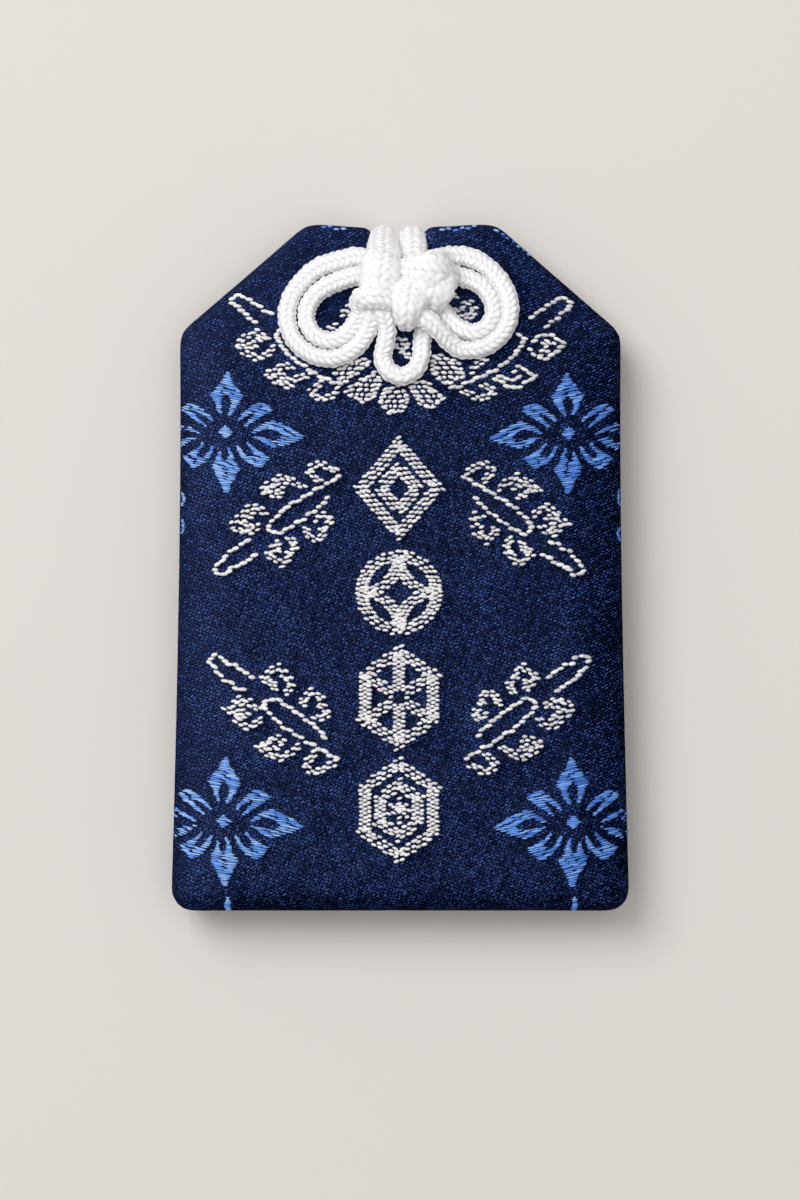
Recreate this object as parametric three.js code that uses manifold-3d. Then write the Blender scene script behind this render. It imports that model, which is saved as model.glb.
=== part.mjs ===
// An omamori charm lying on its back: a flat brocade pouch with a stiff core and a wrapped slip inside,
// closed by one white braided cord that is tied in a double-eared knot and goes over the mouth
// to the hanging loop tucked behind the pouch.
// Millimetres. X is the width, Y runs up to the mouth, Z is up from the surface that the charm lies on.
import * as THREE from "three";
import { mergeVertices } from "three/addons/utils/BufferGeometryUtils.js";
import Module from "manifold-3d";

const wasm = await Module();
wasm.setup();

// Pouch outline
const pouchHeight = 72;
const bottomWidth = 48;
const waistWidth = 45.9;
const shoulderWidth = 46.2;
const topWidth = 19.4;
const chamferHeight = 10.6;
const waistY = 6;
const bottomCornerRadius = 2.4;
const shoulderRound = 1.6;

// Cloth and what the pouch holds, from the back to the front
const clothThickness = 0.6;
const interfacingThickness = 0.25;
const cardThickness = 0.6;
const slipThickness = 1.1;
const wrapperWall = 0.25;
const waddingThickness = 0.7;
const layerGap = 0.3;
const seamGap = 0.3;
const frontCrown = 0.5;
const edgeRoll = 3;

// Mouth, pinched by the cord
const mouthThickness = 3.4;
const pinchThickness = 2.6;
const pinchHalfWidth = 3.3;
const pinchFade = 1.3;
const pinchReach = 6;
const mouthTaper = 18;

// Cord
const cordDiameter = 2;
const cordGap = 0.3;
const cordFlat = 0.2;
const leftStrandX = -2;
const rightStrandX = 1.4;
const leftStrandRise = 5.3;
const rightStrandRise = 3.7;
const strandDrop = 3;
const knotDrop = 6.4;
const knotX = 0.2;
const loopLead = 1.5;
const bendStart = Math.PI / 6;
const eyeletWidth = 5.4;
const eyeletHeight = 3;

// Inner pieces, and the room between them and the outline of the pouch
const sheetInset = 3.6;
const cardInset = 4.4;
const frontSheetRoom = 20;
const backSheetRoom = 14;
const slipSideRoom = 6.95;
const slipTopRoom = 15.5;
const slipBottomRoom = 4.5;
const slipCornerCut = 5.3;
const wrapperMargin = 1.4;
const threadDiameter = 0.4;

// Fineness of the cord and thread tubes
const cordSides = 8;
const threadSides = 6;
const knotStep = 0.8;
const bendStep = 1.1;
const loopStep = 2;
const threadStep = 2;
const hair = 0.01;

// Worked out from the sizes above
const cordRadius = cordDiameter / 2;
const halfHeight = pouchHeight / 2;
const wrapperThickness = slipThickness + 2 * layerGap + 2 * wrapperWall;
const layers = 5;
const bodyThickness = 2 * clothThickness + 2 * interfacingThickness + cardThickness
  + wrapperThickness + waddingThickness + (layers + 1) * layerGap;
const loopZ = cordRadius - cordFlat;
const backZ = loopZ + cordRadius + cordGap;
const bendRadius = pinchThickness / 2 + cordGap + cordRadius;
const bendZ = backZ + pinchThickness / 2;
const bendY = halfHeight - bendRadius - cordRadius;
const pinchDepth = halfHeight - (bendY + pinchThickness / 2);
const knotY = halfHeight - knotDrop;
const knotLead = 4 * cordGap;
const frontTopY = halfHeight - frontSheetRoom;
const backTopY = halfHeight - backSheetRoom;
const slipWidth = waistWidth - 2 * slipSideRoom;
const slipLength = pouchHeight - slipTopRoom - slipBottomRoom;
const slipBottomY = slipBottomRoom - halfHeight;

const smooth = THREE.MathUtils.smoothstep;
const mix = THREE.MathUtils.lerp;

function finish(color, roughness) {
  return new THREE.MeshStandardMaterial({ color, roughness, metalness: 0 });
}

const navyBrocade = finish(0x18296a, 0.7);
const whiteInterfacing = finish(0xe9e6de, 0.9);
const greyCard = finish(0xb9b2a4, 0.85);
const cottonWadding = finish(0xf3f0e8, 0.95);
const whitePaper = finish(0xf6f3ea, 0.8);
const cypressWood = finish(0xd9b98a, 0.6);
const navyThread = finish(0x1b2a60, 0.6);
const whiteCord = finish(0xf4f4f6, 0.55);

// How strongly the cord pinches the mouth at a place across it
function pinchAt(x) {
  const middle = (leftStrandX + rightStrandX) / 2;
  return 1 - smooth(Math.abs(x - middle), pinchHalfWidth - pinchFade, pinchHalfWidth + pinchFade);
}

// Thickness of the pouch, full over the card and thin at the mouth
function thicknessAt(x, y) {
  const pinch = pinchAt(x) * smooth(y, halfHeight - pinchReach, halfHeight - pinchDepth);
  const mouth = mix(mouthThickness, pinchThickness, pinch);
  const crown = frontCrown * (1 - (2 * x / bottomWidth) ** 2) * (1 - (y / halfHeight) ** 2);
  return mix(mouth, bodyThickness + crown, smooth(halfHeight - y, 0, mouthTaper));
}

function frontZ(x, y) {
  return backZ + thicknessAt(x, y);
}

function seamZ(x, y) {
  return backZ + thicknessAt(x, y) / 2;
}

// Outline of the pouch: drawn-in sides, slanted shoulders and a mouth edge that dips under the cord by a share
function pouchOutline(dip) {
  const bottom = bottomWidth / 2;
  const shoulder = shoulderWidth / 2;
  const top = topWidth / 2;
  const shoulderY = halfHeight - chamferHeight;
  const r = bottomCornerRadius;
  const slant = new THREE.Vector2(top - shoulder, chamferHeight).normalize();
  const side = new THREE.QuadraticBezierCurve(
    new THREE.Vector2(bottom, r - halfHeight),
    new THREE.Vector2(waistWidth - shoulder, waistY),
    new THREE.Vector2(shoulder, shoulderY - shoulderRound),
  );
  const right = [];
  const add = (curve, count) => right.push(...curve.getPoints(count).slice(0, -1));
  add(new THREE.LineCurve(new THREE.Vector2(0, -halfHeight), new THREE.Vector2(bottom - r, -halfHeight)), 4);
  add(new THREE.EllipseCurve(bottom - r, r - halfHeight, r, r, -Math.PI / 2, 0), 5);
  add(side, 10);
  const shoulderEnd = new THREE.Vector2(shoulder, shoulderY).addScaledVector(slant, shoulderRound);
  add(new THREE.QuadraticBezierCurve(side.v2, new THREE.Vector2(shoulder, shoulderY), shoulderEnd), 3);
  const topCorner = new THREE.Vector2(top, halfHeight);
  const slantEnd = topCorner.clone().addScaledVector(slant, -shoulderRound);
  const topStart = new THREE.Vector2(top - shoulderRound, halfHeight);
  add(new THREE.LineCurve(shoulderEnd, slantEnd), 4);
  add(new THREE.QuadraticBezierCurve(slantEnd, topCorner, topStart), 3);
  const mouthSteps = 12;
  add(new THREE.LineCurve(topStart, new THREE.Vector2(0, halfHeight)), mouthSteps);
  const left = right.slice(1).reverse().map((p) => new THREE.Vector2(-p.x, p.y));
  const outline = [...right, new THREE.Vector2(0, halfHeight), ...left];
  for (const p of outline) if (p.y > halfHeight - hair) p.y -= dip * pinchDepth * pinchAt(p.x);
  return outline;
}

// The outline moved inwards by a distance, point for point
function insetOutline(outline, distance) {
  const count = outline.length;
  return outline.map((p, i) => {
    const before = outline[(i + count - 1) % count];
    const after = outline[(i + 1) % count];
    const along = new THREE.Vector2().subVectors(after, before).normalize();
    return new THREE.Vector2(p.x - along.y * distance, p.y + along.x * distance);
  });
}

// The outline drawn towards the middle line of the pouch by a share
function drawnIn(outline, share) {
  const middleShare = 0.5;
  return outline.map((p) => new THREE.Vector2(p.x * (1 - share), mix(p.y, p.y * middleShare, share)));
}

function geometryOf(vertices, faces) {
  const geometry = new THREE.BufferGeometry();
  geometry.setAttribute("position", new THREE.Float32BufferAttribute(vertices.flat(), 3));
  geometry.setIndex(faces.flat());
  geometry.computeVertexNormals();
  return geometry;
}

// A closed skin over rings of equal length, each joined to the next, with a tip that closes each end
function loftRings(rings, startTip, endTip) {
  const count = rings[0].length;
  const vertices = [...rings.flat(), startTip, endTip];
  const faces = [];
  for (let i = 0; i < count; i++) {
    const j = (i + 1) % count;
    for (let base = 0; base + count < rings.length * count; base += count) {
      faces.push([base + i, base + j, base + j + count], [base + i, base + j + count, base + i + count]);
    }
    const last = (rings.length - 1) * count;
    faces.push([vertices.length - 2, j, i], [last + i, last + j, vertices.length - 1]);
  }
  return geometryOf(vertices, faces);
}

// One cloth panel: a shell whose edge rolls from the flat of the pouch down to the seam
function panelGeometry(front) {
  const sign = front ? 1 : -1;
  const heightAt = (p, lift, wall) => {
    const half = thicknessAt(p.x, p.y) / 2;
    return seamZ(p.x, p.y) + sign * (seamGap / 2 + (half - seamGap / 2 - wall) * lift);
  };
  const mouthStart = halfHeight - mouthTaper / 2;
  const ringAt = (depth, share, wall) => {
    const dip = (1 - share) ** 3;
    const start = insetOutline(pouchOutline(dip), wall);
    const flat = drawnIn(insetOutline(start, depth), share);
    return flat.map((p, i) => {
      const pinch = p.y > mouthStart ? pinchAt(start[i].x) : 0;
      const roll = mix(edgeRoll, pinchThickness / 2, pinch) - wall;
      const rest = Math.max(0, 1 - depth / roll);
      const lift = share ? 1 : Math.sqrt(1 - rest * rest);
      return [p.x, p.y, heightAt(p, lift, wall)];
    });
  };
  const outerDepths = [0, 0.2, 0.8, 1.7];
  const innerDepths = [0, 0.3, 1];
  const flatDepth = 2.4;
  const outerShares = [0.04, 0.3, 0.65];
  const innerShares = [0.04, 0.4, 0.65];
  const rings = [
    ...innerShares.toReversed().map((share) => ringAt(flatDepth - clothThickness, share, clothThickness)),
    ...innerDepths.toReversed().map((depth) => ringAt(depth, 0, clothThickness)),
    ...outerDepths.map((depth) => ringAt(depth, 0, 0)),
    ...outerShares.map((share) => ringAt(flatDepth, share, 0)),
  ];
  const middle = new THREE.Vector2(0, 0);
  const tips = [clothThickness, 0].map((wall) => [0, 0, heightAt(middle, 1, wall)]);
  if (!front) rings.reverse();
  return front ? loftRings(rings, tips[0], tips[1]) : loftRings(rings, tips[1], tips[0]);
}

// A closed geometry as a solid for cutting, and back
function solidOf(geometry) {
  const bare = new THREE.BufferGeometry();
  bare.setAttribute("position", geometry.getAttribute("position"));
  if (geometry.index) bare.setIndex(geometry.index);
  const merged = mergeVertices(bare, hair * hair);
  return new wasm.Manifold(new wasm.Mesh({
    numProp: 3,
    vertProperties: merged.getAttribute("position").array,
    triVerts: new Uint32Array(merged.index.array),
  }));
}

function geometryFrom(solid) {
  const mesh = solid.getMesh();
  const geometry = new THREE.BufferGeometry();
  geometry.setAttribute("position", new THREE.BufferAttribute(mesh.vertProperties, 3));
  geometry.setIndex(new THREE.BufferAttribute(mesh.triVerts, 1));
  geometry.computeVertexNormals();
  return geometry;
}

// A slot with round ends, right through the front panel behind the knot, for the two cord ends
function eyeletCutter() {
  const r = eyeletHeight / 2;
  const reach = eyeletWidth / 2 - r;
  const slot = new THREE.Shape();
  slot.absarc(reach, 0, r, -Math.PI / 2, Math.PI / 2);
  slot.absarc(-reach, 0, r, Math.PI / 2, 1.5 * Math.PI);
  const cutter = new THREE.ExtrudeGeometry(slot, { depth: bodyThickness, bevelEnabled: false, curveSegments: 6 });
  return cutter.translate(knotX, knotY, seamZ(knotX, knotY));
}

// A flat sheet inside the pouch: the pouch outline set in, cut straight across at its top
function sheetGeometry(inset, topY, bottomZ, thickness) {
  const corner = bottomCornerRadius;
  const halfWidth = waistWidth / 2 - inset;
  const low = inset - halfHeight;
  const shape = new THREE.Shape();
  shape.moveTo(-halfWidth, topY);
  shape.lineTo(-halfWidth, low + corner);
  shape.absarc(corner - halfWidth, low + corner, corner, Math.PI, 1.5 * Math.PI);
  shape.lineTo(halfWidth - corner, low);
  shape.absarc(halfWidth - corner, low + corner, corner, -Math.PI / 2, 0);
  shape.lineTo(halfWidth, topY);
  const sheet = new THREE.ExtrudeGeometry(shape, { depth: thickness, bevelEnabled: false, curveSegments: 4 });
  return sheet.translate(0, 0, bottomZ);
}

// The slip of wood, its top corners cut off like the pouch's
function slipGeometry(bottomZ) {
  const half = slipWidth / 2;
  const cut = slipCornerCut;
  const top = slipBottomY + slipLength;
  const shape = new THREE.Shape();
  shape.moveTo(-half, slipBottomY);
  shape.lineTo(half, slipBottomY);
  shape.lineTo(half, top - cut);
  shape.lineTo(half - cut, top);
  shape.lineTo(cut - half, top);
  shape.lineTo(-half, top - cut);
  const slip = new THREE.ExtrudeGeometry(shape, { depth: slipThickness, bevelEnabled: false });
  return slip.translate(0, 0, bottomZ);
}

// The paper sleeve folded round the slip, open at both ends
function wrapperGeometry(bottomZ) {
  const inner = slipWidth / 2 + layerGap;
  const outer = inner + wrapperWall;
  const length = slipLength + wrapperMargin;
  const sleeve = new THREE.Shape();
  sleeve.moveTo(-outer, 0);
  sleeve.lineTo(outer, 0);
  sleeve.lineTo(outer, wrapperThickness);
  sleeve.lineTo(-outer, wrapperThickness);
  const hollow = new THREE.Path();
  hollow.moveTo(-inner, wrapperWall);
  hollow.lineTo(-inner, wrapperThickness - wrapperWall);
  hollow.lineTo(inner, wrapperThickness - wrapperWall);
  hollow.lineTo(inner, wrapperWall);
  sleeve.holes.push(hollow);
  const wrapper = new THREE.ExtrudeGeometry(sleeve, { depth: length, bevelEnabled: false });
  wrapper.rotateX(Math.PI / 2);
  return wrapper.translate(0, slipBottomY + slipLength + wrapperMargin / 2, bottomZ);
}

// How far the cord is pressed out of round along its way: half width and half height
const sections = {
  round: [cordRadius, cordRadius],
  broad: [1.25 * cordRadius, 0.9 * cordRadius],
  flat: [1.6 * cordRadius, 0.85 * cordRadius],
  tight: [0.8 * cordRadius, 0.8 * cordRadius],
};

// Points of a cord's smooth way through its route, with the section and the tangent at each
function stationsOf(route, step) {
  const curve = new THREE.CatmullRomCurve3(route.map((stop) => stop.place), false, "centripetal");
  curve.arcLengthDivisions = 60 * route.length;
  const count = Math.ceil(curve.getLength() / step);
  const last = route.length - 1;
  return Array.from({ length: count + 1 }, (_, i) => {
    const t = curve.getUtoTmapping(i / count);
    const from = Math.min(Math.floor(t * last), last - 1);
    const share = t * last - from;
    const [a, b] = [0, 1].map((k) => mix(route[from].section[k], route[from + 1].section[k], share));
    return { place: curve.getPoint(t), along: curve.getTangent(t), a, b };
  });
}

// A closed tube along the stations. The section is an ellipse that lies flat, round where the cord stands up.
function cordGeometry(stations, sides) {
  const upright = new THREE.Vector3(0, 0, 1);
  const first = stations[0].along;
  const steep = Math.abs(first.z) > Math.abs(first.x);
  const normal = new THREE.Vector3().crossVectors(first, steep ? new THREE.Vector3(1, 0, 0) : upright);
  normal.normalize();
  const rings = stations.map(({ place, along, a, b }) => {
    normal.addScaledVector(along, -normal.dot(along)).normalize();
    const binormal = new THREE.Vector3().crossVectors(along, normal);
    const up = upright.clone().addScaledVector(along, -along.z);
    const lying = up.length();
    if (lying > hair) up.divideScalar(lying);
    const mean = (a + b) / 2;
    const wide = mix(mean, a, lying);
    const high = mix(mean, b, lying);
    return Array.from({ length: sides }, (_, k) => {
      const angle = 2 * Math.PI * (k + 0.5) / sides;
      const out = normal.clone().multiplyScalar(Math.cos(angle)).addScaledVector(binormal, Math.sin(angle));
      const rise = out.dot(up);
      const radius = 1 / Math.hypot(Math.sqrt(Math.max(0, 1 - rise * rise)) / wide, rise / high);
      return place.clone().addScaledVector(out, radius).toArray();
    });
  });
  return loftRings(rings, stations[0].place.toArray(), stations.at(-1).place.toArray());
}

// A stop of the cord on the front: across and up from the knot's middle, and its height over the cloth
function onCloth([u, v, w, section = "round"]) {
  const x = knotX + u;
  const y = knotY + v;
  return { place: new THREE.Vector3(x, y, frontZ(x, y) + w), section: sections[section] };
}

function atPlace([x, y, z, section = "round"]) {
  return { place: new THREE.Vector3(x, y, z), section: sections[section] };
}

// Where a strand leaves the knot for the mouth, and how steeply it falls there
const leftStrand = { x: leftStrandX, y: halfHeight - strandDrop, z: bendZ + leftStrandRise, fall: 1 };
const rightStrand = { x: rightStrandX, y: halfHeight - strandDrop, z: bendZ + rightStrandRise, fall: 0.75 };

// A stop on a strand's slope, some way from the knot's end of it
function onSlope(strand, way) {
  return atPlace([strand.x, strand.y + way * Math.cos(strand.fall), strand.z - way * Math.sin(strand.fall)]);
}

// The knot, in the order in which the cord is tied
const leftUpright = [
  [-2.3, 2.2, 4.8, "broad"],
  [-2.5, 1, 5.2, "flat"],
  [-2.6, -0.2, 4.2, "broad"],
  [-2.5, -1.5, 3, "tight"],
  [-2.1, -3, 2.6, "tight"],
  [-1.6, -4.6, 2.4, "tight"],
];
const bottomLoop = [
  [-1.8, -6.2, 1.6],
  [-2.1, -7.6, 1.35],
  [-1.6, -9, 1.35],
  [-0.2, -9.6, 1.35],
  [1.2, -9, 1.35],
  [1.9, -7.6, 1.35],
  [2, -6, 1.35],
];
const behindRight = [
  [2.4, -4.4, 1.2, "tight"],
  [2.9, -2.6, 2, "tight"],
  [3.2, -0.9, 3.2, "tight"],
  [3.3, 0.7, 2.9, "tight"],
  [3.4, 2.2, 1.7, "tight"],
];
const rightOuterEar = [
  [4.1, 3.2, 1.35],
  [5.6, 3.6, 1.35],
  [7.6, 3.1, 1.35],
  [9.6, 1.7, 1.35],
  [10.9, -0.4, 1.35],
  [11.2, -2.8, 1.35],
  [10.3, -5.1, 1.35],
  [8.6, -6.7, 1.35],
  [6.6, -7.1, 1.35],
  [4.8, -6.3, 1.7],
];
const lowerAcross = [
  [3.6, -5.1, 2.9],
  [2.4, -4, 3.5, "tight"],
  [0.9, -3, 3.2, "tight"],
  [-0.5, -2.3, 3.6, "tight"],
  [-1.9, -1.9, 5, "broad"],
  [-3.3, -1.8, 5.3, "flat"],
  [-4.7, -1.9, 4.2, "broad"],
  [-5.4, -2.5, 2.7],
];
const leftInnerEar = [
  [-5.6, -3.4, 1.6],
  [-6.5, -4.8, 1.35],
  [-8, -5.3, 1.35],
  [-9.2, -4.4, 1.35],
  [-9.7, -2.8, 1.35],
  [-9.4, -1, 1.35],
  [-8.2, 0.4, 1.35],
  [-6.5, 1.1, 1.35],
  [-4.8, 1.2, 1.35],
];
const behindLeft = [
  [-3.7, 0.4, 1.2, "tight"],
  [-3.3, -1, 1.1, "tight"],
  [-3.3, -2.8, 1.1, "tight"],
];
const leftOuterEar = [
  [-3.6, -4.6, 1.3],
  [-4.5, -6.5, 1.35],
  [-6.2, -7.6, 1.35],
  [-8.2, -7.8, 1.35],
  [-10.4, -6.6, 1.35],
  [-11.8, -4.2, 1.35],
  [-12.1, -1.6, 1.35],
  [-11, 0.9, 1.35],
  [-9, 2.6, 1.35],
  [-6.6, 3.4, 1.35],
  [-4.8, 3.4, 1.35],
];
const upperAcross = [
  [-3.4, 2.6, 1.4, "tight"],
  [-1.9, 1.7, 2.1, "tight"],
  [-0.3, 1.5, 3.8, "tight"],
  [1.2, 1.7, 5.4, "broad"],
  [2.9, 1.6, 5.4, "flat"],
  [4.5, 1.4, 4.6, "broad"],
  [5.5, 1.3, 3.1],
];
const rightInnerEar = [
  [6.3, 1.1, 1.8],
  [7.5, 0.5, 1.35],
  [8.6, -0.8, 1.35],
  [8.9, -2.4, 1.35],
  [8.2, -3.9, 1.35],
  [6.8, -4.7, 1.35],
  [5.4, -4.1, 1.35],
];
const leftTail = [
  [4.8, -2.6, 1.2, "tight"],
  [3.9, -1.1, 1.1, "tight"],
  [2.5, -0.1, 1.2, "tight"],
  [1.5, 0.3, 0, "tight"],
  [1.3, -0.3, -1.4, "tight"],
  [1.2, -2.2, -2.2, "tight"],
  [1.2, -5.4, -3.3, "tight"],
];

// The right strand: under the upper pass, over the lower one as a tongue, and back through the eyelet
const tongue = [
  [1.2, 2, 2.4, "tight"],
  [1.1, 0.8, 2.8, "tight"],
  [1.1, -0.6, 4.1, "broad"],
  [1, -2, 5.4, "broad"],
  [0.8, -3.4, 5.3, "broad"],
  [0.5, -4.5, 4.4, "broad"],
  [0.3, -5, 3, "tight"],
  [0.2, -4.5, 1.7, "tight"],
  [0, -3.2, 1.2, "tight"],
  [-0.6, -1.7, 1.15, "tight"],
  [-1.1, -0.5, 0.8, "tight"],
  [-1.3, 0.2, -0.3, "tight"],
  [-1.2, -0.5, -1.6, "tight"],
  [-1.2, -2.2, -2.2, "tight"],
  [-1.2, -5.4, -3.3, "tight"],
];

function knotRoute() {
  const stops = [
    ...leftUpright, ...bottomLoop, ...behindRight, ...rightOuterEar, ...lowerAcross, ...leftInnerEar,
    ...behindLeft, ...leftOuterEar, ...upperAcross, ...rightInnerEar, ...leftTail,
  ];
  return [onSlope(leftStrand, -cordGap), onSlope(leftStrand, -knotLead), ...stops.map(onCloth)];
}

function tongueRoute() {
  return [onSlope(rightStrand, -cordGap), onSlope(rightStrand, -knotLead), ...tongue.map(onCloth)];
}

// A strand's way over the pinched mouth, from the slope in front round the edge to the loop behind
function bendRoute(strand) {
  const steps = 6;
  const arc = Array.from({ length: steps + 1 }, (_, i) => {
    const turn = mix(bendStart, -Math.PI / 2, i / steps);
    return atPlace([strand.x, bendY + bendRadius * Math.cos(turn), bendZ + bendRadius * Math.sin(turn)]);
  });
  const behind = atPlace([strand.x, bendY - loopLead, loopZ]);
  return [onSlope(strand, 0), onSlope(strand, cordRadius), ...arc, behind];
}

// The hanging loop, lying flat behind the pouch
const loopSides = [
  [-2.2, 28],
  [-3.2, 21],
  [-4.8, 13],
  [-6.4, 5],
  [-7.3, -3],
  [-6.9, -9],
  [-4.6, -13.6],
  [-0.3, -15.6],
  [4, -13.6],
  [6.3, -9],
  [6.7, -3],
  [5.8, 5],
  [4.2, 13],
  [2.6, 21],
  [1.6, 28],
];

function loopRoute() {
  const startY = bendY - loopLead - cordGap;
  const flat = [[leftStrandX, startY], ...loopSides, [rightStrandX, startY]];
  return flat.map(([x, y]) => atPlace([x, y, loopZ]));
}

// The underside of the cord, pressed flat where the charm lies on it
function flatUnder(geometry) {
  const slab = new THREE.BoxGeometry(2 * bottomWidth, 2 * pouchHeight, cordDiameter);
  slab.translate(0, 0, -cordRadius);
  return geometryFrom(solidOf(geometry).subtract(solidOf(slab)));
}

// The stitching just inside a stretch of the seam, followed from the mouth round to the mouth
function seamRoute(keep) {
  const depth = clothThickness + layerGap + threadDiameter / 2;
  const line = insetOutline(pouchOutline(1), depth);
  const mouth = Math.floor(line.length / 2);
  return [...line.slice(mouth), ...line.slice(0, mouth)].filter(keep).map((p) => ({
    place: new THREE.Vector3(p.x, p.y, seamZ(p.x, p.y)),
    section: [threadDiameter / 2, threadDiameter / 2],
  }));
}

const charm = new THREE.Group();

function add(name, geometry, material) {
  const mesh = new THREE.Mesh(geometry, material.clone());
  mesh.name = name;
  charm.add(mesh);
}

add("front_panel", geometryFrom(solidOf(panelGeometry(true)).subtract(solidOf(eyeletCutter()))), navyBrocade);
add("back_panel", panelGeometry(false), navyBrocade);

let layerZ = backZ + clothThickness + layerGap;
function stack(thickness) {
  const bottomZ = layerZ;
  layerZ += thickness + layerGap;
  return bottomZ;
}

function addSheet(name, inset, topY, thickness, material) {
  add(name, sheetGeometry(inset, topY, stack(thickness), thickness), material);
}

addSheet("back_interfacing", sheetInset, backTopY, interfacingThickness, whiteInterfacing);
addSheet("stiffener_card", cardInset, backTopY, cardThickness, greyCard);
const wrapperZ = stack(wrapperThickness);
add("slip_wrapper", wrapperGeometry(wrapperZ), whitePaper);
add("charm_slip", slipGeometry(wrapperZ + wrapperWall + layerGap), cypressWood);
addSheet("wadding_sheet", cardInset, frontTopY, waddingThickness, cottonWadding);
addSheet("front_interfacing", sheetInset, frontTopY, interfacingThickness, whiteInterfacing);

const cornerY = bottomCornerRadius / 2 - halfHeight;
const onSide = (p) => p.y > cornerY && Math.abs(p.x) > topWidth / 2;
const threads = {
  seam_thread_left: (p) => p.x < 0 && onSide(p),
  seam_thread_right: (p) => p.x > 0 && onSide(p),
  seam_thread_bottom: (p) => p.y < cornerY,
};
for (const [name, keep] of Object.entries(threads)) {
  add(name, cordGeometry(stationsOf(seamRoute(keep), threadStep), threadSides), navyThread);
}

add("knot_cord", cordGeometry(stationsOf(knotRoute(), knotStep), cordSides), whiteCord);
add("tongue_cord", cordGeometry(stationsOf(tongueRoute(), knotStep), cordSides), whiteCord);
add("loop_bend_left", flatUnder(cordGeometry(stationsOf(bendRoute(leftStrand), bendStep), cordSides)), whiteCord);
add("loop_bend_right", flatUnder(cordGeometry(stationsOf(bendRoute(rightStrand), bendStep), cordSides)), whiteCord);
add("hanging_loop", flatUnder(cordGeometry(stationsOf(loopRoute(), loopStep), cordSides)), whiteCord);

export default charm;
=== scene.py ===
# Omamori charm: a navy brocade pouch with woven figures, closed with one white braided cord
import math
import random

import bpy
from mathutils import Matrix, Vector
from mathutils.bvhtree import BVHTree


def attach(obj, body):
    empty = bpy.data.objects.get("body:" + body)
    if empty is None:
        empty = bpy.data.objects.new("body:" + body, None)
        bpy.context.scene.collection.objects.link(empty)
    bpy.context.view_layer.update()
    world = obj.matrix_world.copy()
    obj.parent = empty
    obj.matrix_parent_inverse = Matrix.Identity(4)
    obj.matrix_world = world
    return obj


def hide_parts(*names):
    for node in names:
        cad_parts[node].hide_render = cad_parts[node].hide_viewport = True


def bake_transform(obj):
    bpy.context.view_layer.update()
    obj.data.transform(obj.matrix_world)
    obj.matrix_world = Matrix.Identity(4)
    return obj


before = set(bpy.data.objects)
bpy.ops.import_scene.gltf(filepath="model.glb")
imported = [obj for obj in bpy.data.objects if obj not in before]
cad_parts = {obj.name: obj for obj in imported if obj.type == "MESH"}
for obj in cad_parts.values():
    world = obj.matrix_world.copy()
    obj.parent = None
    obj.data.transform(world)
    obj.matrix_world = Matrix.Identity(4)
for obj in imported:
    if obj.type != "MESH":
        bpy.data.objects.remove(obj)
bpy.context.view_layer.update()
mm = 0.001
scene = bpy.context.scene

# Camera straight above, the charm a little above the middle of the picture
view = {"lens": 100, "aim": (-0.0002, -0.0035), "height": 0.359}
cameraData = bpy.data.cameras.new("camera")
cameraData.lens = view["lens"]
cameraData.clip_start = 0.01
camera = bpy.data.objects.new("camera", cameraData)
camera.location = (*view["aim"], view["height"])
scene.collection.objects.link(camera)
scene.camera = camera


def linear(hexColor):
    parts = [int(hexColor[i:i + 2], 16) / 255 for i in (1, 3, 5)]
    return (*[p / 12.92 if p <= 0.04045 else ((p + 0.055) / 1.055) ** 2.4 for p in parts], 1)


def smooth(value, low, high):
    share = min(1, max(0, (value - low) / (high - low)))
    return share * share * (3 - 2 * share)


def mix(a, b, share):
    return a + (b - a) * share


def deselect():
    bpy.ops.object.select_all(action="DESELECT")


# A node with its settings, its constant inputs and its links
def addNode(tree, kind, settings=None, **inputs):
    node = tree.nodes.new(kind)
    for name, value in (settings or {}).items():
        setattr(node, name, value)
    for name, value in inputs.items():
        key = int(name[1:]) if name[0] == "i" and name[1:].isdigit() else name.replace("_", " ")
        if isinstance(value, bpy.types.NodeSocket):
            tree.links.new(value, node.inputs[key])
        else:
            node.inputs[key].default_value = value
    return node


def newMaterial(name):
    material = bpy.data.materials.new(name)
    material.use_nodes = True
    tree = material.node_tree
    tree.nodes.clear()
    output = tree.nodes.new("ShaderNodeOutputMaterial")
    shader = tree.nodes.new("ShaderNodeBsdfPrincipled")
    tree.links.new(shader.outputs["BSDF"], output.inputs["Surface"])
    return material, tree, shader


def ramp(tree, factor, stops):
    node = addNode(tree, "ShaderNodeValToRGB", Fac=factor)
    elements = node.color_ramp.elements
    while len(elements) < len(stops):
        elements.new(0.5)
    for element, (place, color) in zip(elements, stops):
        element.position = place
        element.color = linear(color)
    return node.outputs["Color"]


def math2(tree, operation, a, b):
    return addNode(tree, "ShaderNodeMath", {"operation": operation}, i0=a, i1=b).outputs[0]


def bumpFrom(tree, shader, height, distance, strength):
    bump = addNode(tree, "ShaderNodeBump", Height=height, Distance=distance, Strength=strength)
    tree.links.new(bump.outputs["Normal"], shader.inputs["Normal"])


# Object coordinates in millimetres
def inMillimetres(tree, scale=(1000, 1000, 1000), turn=0):
    coords = addNode(tree, "ShaderNodeTexCoord").outputs["Object"]
    mapping = addNode(tree, "ShaderNodeMapping", Vector=coords, Scale=scale, Rotation=(0, 0, turn))
    return mapping.outputs["Vector"]


def noise(tree, vector, scale, detail):
    return addNode(tree, "ShaderNodeTexNoise", Vector=vector, Scale=scale, Detail=detail).outputs["Fac"]


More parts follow.
